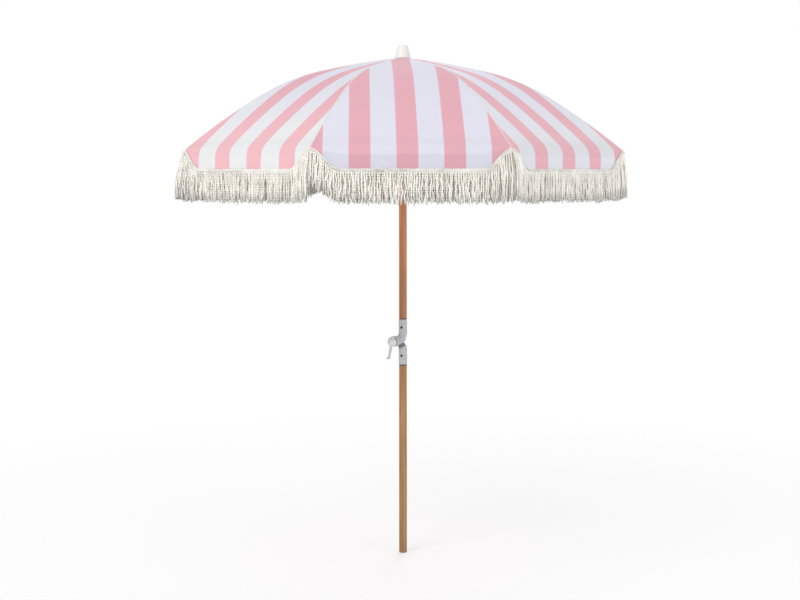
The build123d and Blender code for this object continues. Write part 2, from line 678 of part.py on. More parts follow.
with BuildPart() as fringe:
    with BuildSketch(hanging_plane(RIM_R * PANEL_SCALE - FRINGE_THICKNESS / 2)):
        with BuildLine():
            top = lower_edge(HEM_DROP + 0.6, CORNER_DROP + 0.6)
            bottom = lower_edge(HEM_DROP + FRINGE_LENGTH, CORNER_REACH)
            Line(top @ 1, bottom @ 1)
            Line((SEAM_GAP, RIM_Z - HEM_DROP - 0.6), (SEAM_GAP, RIM_Z - HEM_DROP - FRINGE_LENGTH))
        make_face()
    extrude(amount=FRINGE_THICKNESS)
    finish_at_rib()

for number in range(1, RIB_COUNT + 1):
    rib_azimuth = FIRST_AZIMUTH + (number - 1) * STEP
    save(rib.part, f"rib_{number}", rib_azimuth)
    save(stretcher.part, f"stretcher_{number}", rib_azimuth)
    save(gore.part, f"gore_{number}", rib_azimuth)
    save(valance.part, f"valance_{number}", rib_azimuth)
    save(fringe.part, f"fringe_{number}", rib_azimuth)
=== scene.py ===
"""Looks of the fringed beach umbrella: striped canopy, valance, cotton fringe, wooden pole and knuckle.

Metres, in the row frame: the pole runs up +Z from the origin and a whole panel of the canopy faces -Y.
"""
import math

import bmesh
import bpy
import numpy as np
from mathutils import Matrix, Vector


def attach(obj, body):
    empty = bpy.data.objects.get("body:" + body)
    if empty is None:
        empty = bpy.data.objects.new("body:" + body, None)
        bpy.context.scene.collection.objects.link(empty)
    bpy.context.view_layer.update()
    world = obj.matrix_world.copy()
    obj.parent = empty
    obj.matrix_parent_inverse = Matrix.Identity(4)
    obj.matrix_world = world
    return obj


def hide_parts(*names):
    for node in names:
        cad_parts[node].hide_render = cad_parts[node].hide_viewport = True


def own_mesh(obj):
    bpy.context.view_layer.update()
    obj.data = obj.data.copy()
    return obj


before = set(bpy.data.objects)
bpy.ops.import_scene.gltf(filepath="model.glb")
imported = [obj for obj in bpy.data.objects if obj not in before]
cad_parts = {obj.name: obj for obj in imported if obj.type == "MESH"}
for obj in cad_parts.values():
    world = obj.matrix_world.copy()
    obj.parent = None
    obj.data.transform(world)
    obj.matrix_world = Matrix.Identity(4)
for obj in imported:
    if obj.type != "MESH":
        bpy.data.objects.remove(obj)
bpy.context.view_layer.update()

# ---- Sizes shared with the frame ----------------------------------------------------------------------
RIBS = 8
STEP = math.radians(45)
HALF = STEP / 2
FIRST = math.radians(-112.5)
HUB_R, CROWN_Z = 0.025, 2.013
ANGLES = [math.radians(a) for a in (8.0, 14.0, 32.0, 39.0)]     # slope of a rib at the ends of its arcs
RUNS = (HUB_R, 0.350, 0.615, 0.884)     # radius reached at those ends
RIM_R = 0.900               # corner of the canopy at a rib tip
RIM_HALF = RIM_R * math.sin(HALF)       # half the length of a panel's rim
RIM_RHO = RIM_R * math.cos(HALF)        # distance of its middle from the pole
LIFT = 0.0044               # outer face of the cloth above a rib's centre line
CLOTH, HANGING_CLOTH = 0.0009, 0.0008   # thickness over the ribs and below the rim
HEM_DROP = 0.074            # straight hem below the rim
HEM_CURVE = 0.100           # length of the curve from a rib tip down to the straight hem
FRINGE = 0.124
LOWER_JOINT, UPPER_JOINT = 0.773, 0.957     # rims of the knuckle's two sockets
CLAMP_CENTRE = (-0.0157, 0.0, 0.869)
CLAMP_AZIMUTH = math.radians(-131)
CLAMP_DIR = (math.cos(CLAMP_AZIMUTH), math.sin(CLAMP_AZIMUTH), 0.0)

# stripes run along each panel; every panel was cut from a different place on the roll
STRIPE_SHARE = 0.457        # pink share of a pitch
STRIPES = (                 # (place of a pink stripe's middle, pitch) for each panel
    (-0.013, 0.163), (-0.009, 0.166), (0.022, 0.163), (-0.040, 0.163),
    (0.031, 0.163), (-0.062, 0.163), (0.055, 0.163), (0.054, 0.1754),
)


def rib_arcs():
    """Radius and starting height of each of a rib's three arcs."""
    height, found = CROWN_Z, []
    for i in range(3):
        a, b = ANGLES[i], ANGLES[i + 1]
        radius = (RUNS[i + 1] - RUNS[i]) / (math.sin(b) - math.sin(a))
        found.append((radius, height))
        height -= radius * (math.cos(a) - math.cos(b))
    return found


ARCS = rib_arcs()


def cloth_point(r):
    """Radius and height of the cloth's outer face over a rib, for the rib point at radius r."""
    i = 0 if r <= RUNS[1] else 1 if r <= RUNS[2] else 2
    radius, start = ARCS[i]
    s = math.sin(ANGLES[i]) + (min(r, RUNS[3]) - RUNS[i]) / radius
    c = math.sqrt(1 - s * s)
    z = start - radius * (math.cos(ANGLES[i]) - c)
    over = max(0.0, r - RUNS[3])
    return min(r, RUNS[3]) + LIFT * s + over, z + LIFT * c - over * s / c


CLOTH_LINE = np.array([cloth_point(HUB_R + (RIM_R - HUB_R) * k / 400) for k in range(401)])
CLOTH_LINE[-1, 0] = max(CLOTH_LINE[-1, 0], RIM_R)


def cloth_z(r):
    """Height of the cloth's outer face where the ruled panel is as far out as a rib at radius r."""
    return np.interp(r, CLOTH_LINE[:, 0], CLOTH_LINE[:, 1])


RIM_Z = float(cloth_z(RIM_R))


# ---- Node materials -----------------------------------------------------------------------------------
class Nodes:
    """A short way to write a node material."""

    def __init__(self, name):
        self.mat = bpy.data.materials.new(name)
        self.mat.use_nodes = True
        self.tree = self.mat.node_tree
        self.out = self.tree.nodes["Material Output"]
        self.bsdf = self.tree.nodes["Principled BSDF"]

    def add(self, kind, inputs=None, **props):
        node = self.tree.nodes.new(kind)
        for key, value in props.items():
            setattr(node, key, value)
        for key, value in (inputs or {}).items():
            self.set(node.inputs[key], value)
        return node

    def set(self, socket, value):
        if isinstance(value, bpy.types.NodeSocket):
            self.tree.links.new(value, socket)
        else:
            socket.default_value = value

    def math(self, op, a, b=0.0):
        node = self.add("ShaderNodeMath", operation=op)
        for socket, value in zip(node.inputs, (a, b)):
            self.set(socket, value)
        return node.outputs[0]

    def distance(self, a, b):
        return self.math("ABSOLUTE", self.math("SUBTRACT", a, b))

    def band(self, value, low, high, out_low=0.0, out_high=1.0):
        """value remapped and clamped."""
        node = self.add("ShaderNodeMapRange")
        for key, item in (("Value", value), ("From Min", low), ("From Max", high),
                          ("To Min", out_low), ("To Max", out_high)):
            self.set(node.inputs[key], item)
        return node.outputs[0]

    def mix(self, factor, a, b, blend="MIX"):
        node = self.add("ShaderNodeMix", data_type="RGBA", blend_type=blend)
        self.set(node.inputs["Factor"], factor)
        self.set(node.inputs[6], a)
        self.set(node.inputs[7], b)
        return node.outputs[2]

    def toned(self, colour, tone):
        """colour made lighter or darker by the factor tone."""
        grey = self.add("ShaderNodeCombineXYZ", {0: tone, 1: tone, 2: tone}).outputs[0]
        return self.mix(1.0, colour, grey, "MULTIPLY")

    def scaled(self, vector, scale):
        return self.add("ShaderNodeMapping", {"Vector": vector, "Scale": scale}).outputs[0]

    def coords(self, scale=(1, 1, 1)):
        return self.scaled(self.add("ShaderNodeTexCoord").outputs["Object"], scale)

    def uv(self, name):
        node = self.add("ShaderNodeUVMap", uv_map=name)
        split = self.add("ShaderNodeSeparateXYZ", {0: node.outputs[0]})
        return node.outputs[0], split.outputs[0], split.outputs[1]

    def noise(self, vector, scale, detail=3.0, rough=0.5):
        node = self.add("ShaderNodeTexNoise", {"Vector": vector, "Scale": scale, "Detail": detail,
                                               "Roughness": rough})
        return node.outputs[0]

    def ramp(self, value, stops):
        node = self.add("ShaderNodeValToRGB")
        ramp = node.color_ramp
        while len(ramp.elements) < len(stops):
            ramp.elements.new(0.5)
        for element, (place, colour) in zip(ramp.elements, stops):
            element.position = place
            element.color = (*colour, 1)
        self.set(node.inputs[0], value)
        return node.outputs[0]

    def bump(self, height, strength, distance):
        node = self.add("ShaderNodeBump", {"Height": height, "Strength": strength, "Distance": distance})
        return node.outputs[0]

    def finish(self, **inputs):
        for key, value in inputs.items():
            self.set(self.bsdf.inputs[key.replace("_", " ")], value)
        return self.mat

    def let_through(self, share, **inputs):
        """Mixes in light that passes through the cloth from its far side."""
        glow = self.add("ShaderNodeBsdfTranslucent", inputs)
        both = self.add("ShaderNodeMixShader", {0: share, 1: self.bsdf.outputs[0], 2: glow.outputs[0]})
        self.tree.links.new(both.outputs[0], self.out.inputs[0])
        return self.mat


def srgb(r, g, b):
    """An 8-bit display colour as linear values."""
    return tuple(((c / 255 + 0.055) / 1.055) ** 2.4 if c > 10 else c / 3294.6 for c in (r, g, b))


YARN = 0.0009               # pitch of the canvas's weave
STITCH = 0.004              # length of a stitch and its gap


def cloth_material():
    """Woven cotton canvas with printed stripes, stitched seams on the ribs, light showing through, and
    painted shade in cooler, darker copies of its colours.
    """
    n = Nodes("canopy_canvas")
    # the stripe map holds the place across the stripes and the share of painted shade
    _, phase, painted_shade_share = n.uv("stripe")
    weave, wu, wv = n.uv("weave")
    _, seam, along = n.uv("seam")
    wobble = n.math("MULTIPLY", n.math("SUBTRACT", n.noise(weave, 420.0, 1.0), 0.5), 0.008)
    frac = n.math("FRACT", n.math("ADD", n.math("ADD", phase, 0.5), wobble))
    off_centre = n.distance(frac, 0.5)
    half = STRIPE_SHARE / 2
    pink = n.band(off_centre, half + 0.004, half - 0.004)
    # painted shade: the second colour of each pair is a cooler, darker copy of the white and the pink
    white = n.mix(painted_shade_share, (*srgb(236, 238, 240), 1), (*srgb(228, 228, 240), 1))
    rose = n.mix(painted_shade_share, (*srgb(243, 194, 203), 1), (*srgb(232, 179, 191), 1))
    base = n.mix(pink, white, rose)
    # the yarns carry a little more or less dye
    warp = n.math("SINE", n.math("MULTIPLY", wu, 2 * math.pi / YARN))
    weft = n.math("SINE", n.math("MULTIPLY", wv, 2 * math.pi / YARN))
    yarn = n.math("MULTIPLY", warp, weft)
    slub = n.noise(n.scaled(weave, (40, 700, 1)), 1.0, 2.0)
    cloud = n.noise(weave, 5.0, 3.0)
    tone = n.math("ADD", n.math("MULTIPLY", slub, 0.05), n.math("MULTIPLY", cloud, 0.05))
    tone = n.math("ADD", tone, n.math("MULTIPLY", yarn, 0.012))
    tone = n.math("ADD", tone, 0.95)
    # painted shade: a value above 1 darkens the cloth that hangs below the rim further, for the canopy's own
    # shade
    tone = n.math("MULTIPLY", tone, n.band(painted_shade_share, 1.0, 1.5, 1.0, 0.86))
    base = n.toned(base, tone)
    # seam: a raised white welt with a row of stitches on each side
    welt = n.band(seam, 0.0030, 0.0020)
    base = n.mix(n.math("MULTIPLY", welt, 0.75), base, (*srgb(245, 241, 240), 1))
    stitch_row = n.band(n.distance(seam, 0.0052), 0.0009, 0.0004)
    dash = n.band(n.distance(n.math("FRACT", n.math("DIVIDE", along, STITCH)), 0.5), 0.34, 0.30)
    stitch = n.math("MULTIPLY", stitch_row, dash)
    base = n.mix(n.math("MULTIPLY", stitch, 0.6), base, (*srgb(205, 190, 190), 1))
    pucker = n.math("MULTIPLY", n.noise(n.scaled(weave, (18, 60, 1)), 1.0, 2.0), n.band(seam, 0.035, 0.002))
    height = n.math("ADD", n.math("MULTIPLY", yarn, 0.10), n.math("MULTIPLY", slub, 0.15))
    height = n.math("ADD", height, n.math("MULTIPLY", welt, 0.9))
    height = n.math("ADD", height, n.math("MULTIPLY", pucker, 1.6))
    height = n.math("SUBTRACT", height, n.math("MULTIPLY", stitch, 0.5))
    normal = n.bump(height, 0.55, 0.0012)
    n.finish(Base_Color=base, Roughness=0.82, Sheen_Weight=0.25, Sheen_Roughness=0.5, Normal=normal,
             Specular_IOR_Level=0.25)
    return n.let_through(0.22, Color=base, Normal=normal)


def cotton_material(name, light, dark, lift, twist=0.0075, ends=1.0):
    """Natural cotton cord: spiral twist, flecks and painted shade in the hollows of the twist.

    lift sets a painted glow, emission in the cord's own colour that makes it look brighter than the lamps
    light it, and ends is the tone that a cord darkens to over the last third of its length, towards its tip.
    """
    n = Nodes(name)
    _, around, along = n.uv("cord")
    spiral = n.math("SINE", n.math("ADD", n.math("MULTIPLY", along, 2 * math.pi / twist),
                                   n.math("MULTIPLY", around, 2 * math.pi)))
    where = n.coords()
    fleck = n.noise(where, 180.0, 2.0)
    patch = n.noise(where, 22.0, 2.0)
    # painted shade: the spiral darkens the cord along the grooves of its twist
    shade = n.math("ADD", n.math("MULTIPLY", spiral, 0.30), n.math("MULTIPLY", fleck, 0.7))
    shade = n.math("ADD", shade, n.math("MULTIPLY", patch, 0.55))
    base = n.ramp(shade, [(0.25, dark), (0.55, light), (1.0, srgb(255, 254, 250))])
    _, _, share = n.uv("share")
    base = n.toned(base, n.band(share, 0.68, 1.0, 1.0, ends))
    normal = n.bump(n.math("ADD", spiral, fleck), 0.7, 0.0006)
    # painted glow: emission in the cord's own colour, strongest where the cord is lightest
    n.finish(Base_Color=base, Roughness=0.9, Sheen_Weight=0.35, Normal=normal, Specular_IOR_Level=0.2,
             Emission_Color=base, Emission_Strength=n.band(shade, 0.3, 0.9, lift * 0.4, lift * 1.4))
    return n.let_through(0.38, Color=base)


def wood_material(name, light, mid, dark, joint, tones):
    """Varnished round pole: grain along Z, fine pores and a soft clear coat.

    joint is the height of its socket's rim, where a line of painted shade runs round it for the shadow in the
    gap, and tones is (z, tone, z, tone): how light the wood is at two heights.
    """
    n = Nodes(name)
    grain = n.noise(n.coords((55, 55, 2.2)), 1.6, 6.0, 0.62)
    bands = n.noise(n.coords((26, 26, 0.7)), 1.0, 2.0)
    pores = n.noise(n.coords((900, 900, 22)), 1.0, 2.0)
    value = n.math("ADD", n.math("MULTIPLY", grain, 0.6), n.math("MULTIPLY", bands, 0.4))
    base = n.ramp(value, [(0.34, dark), (0.5, mid), (0.66, light)])
    pore = n.band(pores, 0.60, 0.70)
    base = n.mix(n.math("MULTIPLY", pore, 0.35), base, (*dark, 1))
    height_here = n.add("ShaderNodeSeparateXYZ", {0: n.coords()}).outputs[2]
    # painted shade: a dark line round the pole at its socket's rim, for the shadow in the gap
    rim_shade_line = n.band(n.distance(height_here, joint), 0.0052, 0.0034)
    base = n.mix(rim_shade_line, base, (*[c * 0.32 for c in dark], 1))
    z_low, tone_low, z_high, tone_high = tones
    base = n.toned(base, n.band(height_here, z_low, z_high, tone_low, tone_high))
    height = n.math("SUBTRACT", n.math("MULTIPLY", grain, 0.4), pore)
    rough = n.band(grain, 0.3, 0.7, 0.36, 0.5)
    return n.finish(Base_Color=base, Roughness=rough, Coat_Weight=0.25, Coat_Roughness=0.3,
                    Normal=n.bump(height, 0.25, 0.0005))


def coated_material(name, colour, rough=0.45, speck=0.06, edge_wear_and_highlight=None, ring=None):
    """Paint, powder coat or moulded plastic: orange-peel surface, faint clouding and a colour along sharp
    edges, which is a painted highlight where it is lighter than the paint and worn paint where it is darker.

    ring is (centre, direction, radius) of a moulded groove round an axis, which is darkened with painted
    shade.
    """
    n = Nodes(name)
    where = n.coords()
    peel = n.noise(where, 900.0, 2.0)
    cloud = n.noise(where, 35.0, 4.0)
    tone = n.math("ADD", 1 - speck / 2, n.math("MULTIPLY", cloud, speck))
    base = n.toned((*colour, 1), tone)
    if edge_wear_and_highlight:
        # the edge colour: a painted highlight on the knuckle and the lever, worn enamel on the ribs
        edge = n.add("ShaderNodeNewGeometry").outputs["Pointiness"]
        worn_and_lit_edge = n.math("MULTIPLY", n.band(edge, 0.53, 0.60), n.band(cloud, 0.42, 0.6))
        base = n.mix(n.math("MULTIPLY", worn_and_lit_edge, 0.7), base, (*edge_wear_and_highlight, 1))
    height = n.math("MULTIPLY", peel, 0.12)
    if ring:
        centre, direction, radius = ring
        offset = n.add("ShaderNodeVectorMath", {0: where, 1: centre}, operation="SUBTRACT").outputs[0]
        cross = n.add("ShaderNodeVectorMath", {0: offset, 1: direction}, operation="CROSS_PRODUCT").outputs[0]
        off_axis = n.add("ShaderNodeVectorMath", {0: cross}, operation="LENGTH").outputs["Value"]
        groove = n.band(n.distance(off_axis, radius), 0.0016, 0.0006)
        # painted shade in the groove
        base = n.mix(n.math("MULTIPLY", groove, 0.55), base, (*[c * 0.4 for c in colour], 1))
        height = n.math("SUBTRACT", height, groove)
    roughness = n.band(cloud, 0.3, 0.7, rough - 0.06, rough + 0.08)
    return n.finish(Base_Color=base, Roughness=roughness, Normal=n.bump(height, 1.0, 0.0003))


def steel_material(name, colour, rough=0.3):
    """Zinc-plated steel with fine turning lines."""
    n = Nodes(name)
    lines = n.noise(n.coords((40, 40, 1500)), 1.0, 2.0)
    spangle = n.noise(n.coords(), 240.0, 3.0)
    base = n.mix(spangle, (*[c * 0.8 for c in colour], 1), (*colour, 1))
    roughness = n.band(lines, 0.2, 0.8, rough - 0.08, rough + 0.12)
    return n.finish(Base_Color=base, Metallic=1.0, Roughness=roughness, Normal=n.bump(lines, 0.1, 0.0002))


CANVAS = cloth_material()
# the cords further back get darker copies of the same cotton, painted shade, and a weaker painted glow
COTTON = cotton_material("cotton_cord", srgb(255, 254, 249), srgb(222, 216, 204), 0.31, ends=0.68)
COTTON_HALF_SHADED = cotton_material("cotton_cord_half_shaded", srgb(240, 236, 227), srgb(196, 188, 174), 0.15,
                             ends=0.68)
COTTON_SHADED = cotton_material("cotton_cord_shaded", srgb(172, 164, 152), srgb(122, 112, 98), 0.0)
BRAID = cotton_material("cotton_braid", srgb(252, 252, 247), srgb(206, 205, 198), 0.22, 0.009)
LOOKS = {
    "lower_pole": wood_material("beech_light", srgb(181, 136, 84), srgb(157, 114, 68), srgb(126, 86, 45),
                                LOWER_JOINT, (0.0, 0.82, LOWER_JOINT, 1.08)),
    "upper_pole": wood_material("beech_red", srgb(206, 143, 93), srgb(182, 121, 74), srgb(144, 88, 48),
                                UPPER_JOINT, (UPPER_JOINT, 0.76, 1.40, 1.42)),
    # the light edge colour of the knuckle and the lever is a painted highlight
    "lower_knuckle": coated_material("powder_grey", srgb(179, 180, 184), 0.42, edge_wear_and_highlight=srgb(232, 232, 234)),
    "swivel_core": coated_material("nylon_grey", srgb(120, 120, 124), 0.5),
    "clamp_lever": coated_material("moulded_pale", srgb(193, 196, 196), 0.4, 0.05,
                                   edge_wear_and_highlight=srgb(236, 238, 238), ring=(CLAMP_CENTRE, CLAMP_DIR, 0.0135)),
    # the washer is dark rubber, and its near-black also stands in for the shade in the gap between the lever
    # and the boss
    "clamp_washer": coated_material("rubber_dark_gap_shade", srgb(48, 48, 50), 0.6),
    "clamp_screw": steel_material("zinc_steel", (0.62, 0.63, 0.65)),
    "lower_socket_screws": coated_material("black_oxide", srgb(6, 6, 7), 0.6),
    "finial": coated_material("moulded_cream", srgb(226, 226, 222), 0.42, 0.04),
    "rib_1": coated_material("white_enamel", srgb(236, 236, 232), 0.35, 0.05, edge_wear_and_highlight=srgb(150, 150, 150)),
    "lock_knob": coated_material("knob_gloss", srgb(232, 229, 218), 0.25, 0.05),
}
SAME = {                    # nodes that look like another
    "upper_knuckle": "lower_knuckle",
    "upper_socket_screws": "lower_socket_screws",
    "crown": "finial",
    "runner": "finial",
    "crown_pins": "clamp_screw",
    "runner_pins": "clamp_screw",
    "finial_stud": "clamp_screw",
}


def paint(obj, material):
    obj.data.materials.clear()
    obj.data.materials.append(material)


for name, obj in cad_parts.items():
    if name.startswith(("gore_", "valance_", "fringe_")):
        continue
    key = "rib_1" if name.startswith(("rib_", "stretcher_")) else SAME.get(name, name)
    paint(obj, LOOKS[key])


# ---- Mesh helpers -------------------------------------------------------------------------------------
def grid_faces(rows, cols, start=0):
    """Quads of a grid of vertices stored row by row."""
    r, c = np.meshgrid(np.arange(rows - 1), np.arange(cols - 1), indexing="ij")
    first = (start + r * cols + c).ravel()
    return np.stack([first, first + 1, first + cols + 1, first + cols], axis=1)


def make_mesh(name, verts, faces, uvs, materials, face_material=None):
    """An object from numpy vertices and quads, with one UV map per entry of uvs, given per vertex."""
    mesh = bpy.data.meshes.new(name)
    mesh.from_pydata(verts.tolist(), [], faces.tolist())
    for uv_name, values in uvs.items():
        layer = mesh.uv_layers.new(name=uv_name)
        layer.data.foreach_set("uv", values[faces.ravel()].astype(np.float32).ravel())
    for material in materials:
        mesh.materials.append(material)
    mesh.polygons.foreach_set("use_smooth", np.full(len(faces), True))
    if face_material is not None:
        mesh.polygons.foreach_set("material_index", face_material.astype(np.int32))
    mesh.update()
    obj = bpy.data.objects.new(name, mesh)
    bpy.context.scene.collection.objects.link(obj)
    return obj


def weld(obj, distance=1e-6, sharp_test=None):
    """Joins vertices that coincide. Borders, and edges where sharp_test is true of both ends, are sharp."""
    bm = bmesh.new()
    bm.from_mesh(obj.data)
    bmesh.ops.remove_doubles(bm, verts=bm.verts, dist=distance)
    for edge in bm.edges:
        ends = [v.co for v in edge.verts]
        if edge.is_boundary or (sharp_test and sharp_test(ends[0]) and sharp_test(ends[1])):
            edge.smooth = False
    bm.to_mesh(obj.data)
    bm.free()


def thicken(obj, thickness):
    """Gives a sheet its thickness, inwards from the outer face."""
    mod = obj.modifiers.new("thickness", "SOLIDIFY")
    mod.thickness = thickness
    mod.offset = -1
    mod.use_even_offset = True


def panel_axes(panel):
    """Outward and sideways directions of a panel. Panel 0 lies between the first rib and the second."""
    azimuth = FIRST + panel * STEP + HALF
    return (np.array([math.cos(azimuth), math.sin(azimuth), 0.0]),
            np.array([-math.sin(azimuth), math.cos(azimuth), 0.0]))


def stripe_phase(panel, u):
    """Stripes counted across a panel from the middle of a pink one, at distance u from the panel's middle."""
    middle, pitch = STRIPES[panel % RIBS]
    return (u - middle) / pitch


def painted_panel_shade(panel, height):
    """Share of painted shade, a cooler and darker copy of the cloth's colours: all over the panel facing -Y,
    and towards the top of the others.
    """
    low = 1.0 if panel % RIBS == 0 else 0.35 if panel % RIBS == 1 else 0.0
    return low + (1 - low) * np.clip((height - 1.68) / 0.22, 0, 1)


# ---- Canopy -------------------------------------------------------------------------------------------
ROWS, ROLL_ROWS = 60, 8     # rows of the flat cloth and of the roll into the valance
COLS = 19                   # columns from a rib to the middle of a panel
ROLL = 0.026                # how far from the rim the roll starts
TOP_R = 0.0262              # edge of the cloth under the finial
SAG = 0.0065                # how far the cloth hangs in between two ribs


def rim_roll(u):
    """How far from the rim the cloth starts to roll over into the valance; nothing at the rib tips."""
    return ROLL * np.clip((RIM_HALF - np.abs(u)) / 0.10, 0.02, 1.0) ** 0.8


def half_gore(panel, side):
    """Vertices and UVs from the rib to the panel's middle. side is -1 where the rib is at negative u."""
    out, across = panel_axes(panel)
    t = np.linspace(0, 1, COLS)[None, :] ** 0.85
    # flat rows up to the roll, then rows round the roll down to where the valance takes over
    flat = np.linspace(0, 1, ROWS)[:, None]
    roll = rim_roll(RIM_HALF * (1 - t))
    last = RIM_R - roll / math.cos(HALF)
    rr = TOP_R + (last - TOP_R) * flat
    z_end = cloth_z(last)
    turn = np.linspace(0, 1, ROLL_ROWS + 1)[1:, None]
    # quadratic curve through the sharp corner's two tangents
    r_roll = (1 - turn) ** 2 * last + 2 * turn * (1 - turn) * RIM_R + turn ** 2 * RIM_R
    z_roll = (1 - turn) ** 2 * z_end + 2 * turn * (1 - turn) * RIM_Z + turn ** 2 * (RIM_Z - roll)
    r_all = np.concatenate([rr, r_roll])
    z_all = np.concatenate([cloth_z(rr), z_roll])
    # the sides of the panel stay on the ribs, so u follows the radius of the flat cloth
    u = side * np.minimum(r_all, RIM_R) * math.sin(HALF) * (1 - t)
    share = np.clip((r_all - TOP_R) / (RIM_R - TOP_R), 0, 1)
    sag = SAG * np.sin(math.pi * share) ** 0.8 * (1 - (1 - t) ** 2)
    rho = r_all * math.cos(HALF)
    verts = out * rho[..., None] + across * u[..., None]
    verts[..., 2] = z_all - sag
    dist = (r_all * math.sin(HALF) - np.abs(u)) * math.cos(HALF)
    step = np.hypot(np.diff(r_all, axis=0), np.diff(z_all, axis=0))
    arc = np.concatenate([np.zeros((1, COLS)), np.cumsum(step, axis=0)])
    # the stripe map's second value is the share of painted shade
    uvs = {
        "stripe": np.stack([stripe_phase(panel, u), painted_panel_shade(panel, verts[..., 2])], -1),
        "weave": np.stack([u, arc], -1),
        "seam": np.stack([dist, arc], -1),
    }
    return verts, uvs


def joined(halves, first, last):
    """Rows first to last of the two halves of a gore, as one set of arrays."""
    verts, faces, uvs, start = [], [], {}, 0
    for flip, (v, uv) in zip((True, False), halves):
        part = v[first:last + 1]
        quads = grid_faces(*part.shape[:2], start)
        faces.append(quads[:, ::-1] if flip else quads)
        verts.append(part.reshape(-1, 3))
        for key, value in uv.items():
            uvs.setdefault(key, []).append(value[first:last + 1].reshape(-1, 2))
        start += len(verts[-1])
    return np.concatenate(verts), np.concatenate(faces), {k: np.concatenate(v) for k, v in uvs.items()}


def rib_direction(i):
    """Outward and sideways directions of a rib, numbered from 0."""
    azimuth = FIRST + i * STEP
    return (np.array([math.cos(azimuth), math.sin(azimuth), 0.0]),
            np.array([-math.sin(azimuth), math.cos(azimuth), 0.0]))


# Each gore is cut into rings that join without a step when the umbrella is open. As it folds the ribs come
# together more at the rim than at the crown; RING_KEEPS lists a share of its width for each ring.
RING_ROWS = (0, 4, 8, 13, 18, 24, 31, 40, ROWS + ROLL_ROWS - 1)
RING_KEEPS = (0.62, 0.52, 0.43, 0.36, 0.31, 0.26, 0.215, 0.18)

for i in range(RIBS):
    number = i + 1
    _, tangent = rib_direction(i)
    halves = (half_gore(i, -1), half_gore((i - 1) % RIBS, 1))
    for ring, keep in enumerate(RING_KEEPS):
        grids = joined(halves, RING_ROWS[ring], RING_ROWS[ring + 1])
        canopy = make_mesh(f"canopy_{number}_ring_{ring + 1}", *grids, [CANVAS])
        weld(canopy, 1e-6, lambda co, t=tangent: abs(co.x * t[0] + co.y * t[1]) < 1e-5)
        thicken(canopy, CLOTH)
        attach(canopy, f"rib_{number}")
        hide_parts(f"gore_{number}")
        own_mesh(canopy)


# ---- Valance and fringe -------------------------------------------------------------------------------
VALANCE_ROWS, VALANCE_COLS = 12, 46
TIP_DROP = 0.003            # depth of the valance at a rib tip
FACING, FACING_ROWS = 0.045, 5      # strip of the valance's cloth that turns up under the canopy
SWELL = (0.018, 0.016, 0.010, 0.016, 0.018, 0.020, 0.018, 0.026)     # outward, at each rib tip
SWELL_REACH = 0.055         # how far along the rim from the rib tip


def hem_depth(u):
    """Depth of the valance below the rim, at distance u from the panel's middle."""
    gone = np.clip((np.abs(u) - (RIM_HALF - HEM_CURVE)) / HEM_CURVE, 0, 1)
    return TIP_DROP + (HEM_DROP - TIP_DROP) * np.cos(gone * math.pi / 2) ** 2


def ripple(u, depth, seed):
    """Small outward waves in hanging cloth, growing towards its lower edge."""
    rng = np.random.default_rng(seed)
    waves = sum(rng.uniform(0.4, 1.0) * np.sin(u * rng.uniform(18, 60) + rng.uniform(0, 6.28))
                for _ in range(4))
    middle_and_corner = np.clip(np.abs(u) / 0.05, 0, 1) * np.clip((RIM_HALF - np.abs(u)) / 0.05, 0, 1)
    low = np.clip((depth - 0.02) / 0.05, 0, 2)
    return 0.0014 * waves * middle_and_corner * low


def hanging(panel, side, u, down, outward):
    """Points of the cloth or fringe that hangs below a panel's edge. It swells outwards at the rib tips."""
    out, across = panel_axes(panel)
    near = np.exp(-((RIM_HALF - u) / SWELL_REACH) ** 2)
    swell = SWELL[(panel + (side > 0)) % RIBS] * near * np.clip((down - 0.012) / 0.09, 0, 1.2) ** 0.8
    lift = ripple(side * u, np.clip(down, 0, 0.11), 40 + panel)
    rho = RIM_RHO + outward + lift + swell
    # at the corner both halves meet in the rib's plane, so they spread sideways with the swell
    spread = u * rho / RIM_RHO
    points = out * rho[..., None] + across * (side * (u + (spread - u) * near))[..., None]
    points[..., 2] = RIM_Z - down
    return points


def half_valance(panel, side):
    """Vertices and UVs of the facing and the valance, from the rib to the panel's middle."""
    t = np.linspace(0, 1, VALANCE_COLS) ** 0.8
    u = side * RIM_HALF * (1 - t)
    depth = hem_depth(u)
    top = np.minimum(rim_roll(u), depth - 0.001)
    rows = np.linspace(0, 1, VALANCE_ROWS)[:, None]
    down = top[None, :] + rows * (depth - top)[None, :]
    uu = u[None, :] * np.ones_like(rows)
    verts = hanging(panel, side, np.abs(uu), down, 0.0)
    # the facing runs from the valance's top edge to just below the canopy, clear of the ribs
    share = np.linspace(1, 0.12, FACING_ROWS)[:, None]
    r = RIM_R - FACING * share
    out, across = panel_axes(panel)
    clear = 0.0015 + 0.0030 * np.clip((RIM_HALF - np.abs(u)) / 0.05, 0, 1)
    height = (RIM_Z - top) * (1 - share) + (cloth_z(RIM_R - FACING) - clear) * share
    u_facing = u[None, :] * r / RIM_R
    facing = (out * (r * math.cos(HALF))[..., None]) + across * u_facing[..., None]
    facing[..., 2] = height
    verts = np.concatenate([facing, verts])
    uu = np.concatenate([u_facing, uu])
    down = np.concatenate([top[None, :] - FACING * share, down])
    # painted shade: the hanging cloth gets a larger share of it, growing over the first 2 cm below the rim
    shaded = 1 + 0.3 * np.clip(down / 0.02, 0, 1)
    uvs = {
        "stripe": np.stack([stripe_phase(panel, uu), painted_panel_shade(panel, verts[..., 2]) * shaded], -1),
        "weave": np.stack([uu, 1.0 + down], -1),
        "seam": np.stack([np.abs(RIM_HALF - np.abs(uu)) + 0.01, down], -1),
    }
    return verts.reshape(-1, 3), {k: v.reshape(-1, 2) for k, v in uvs.items()}


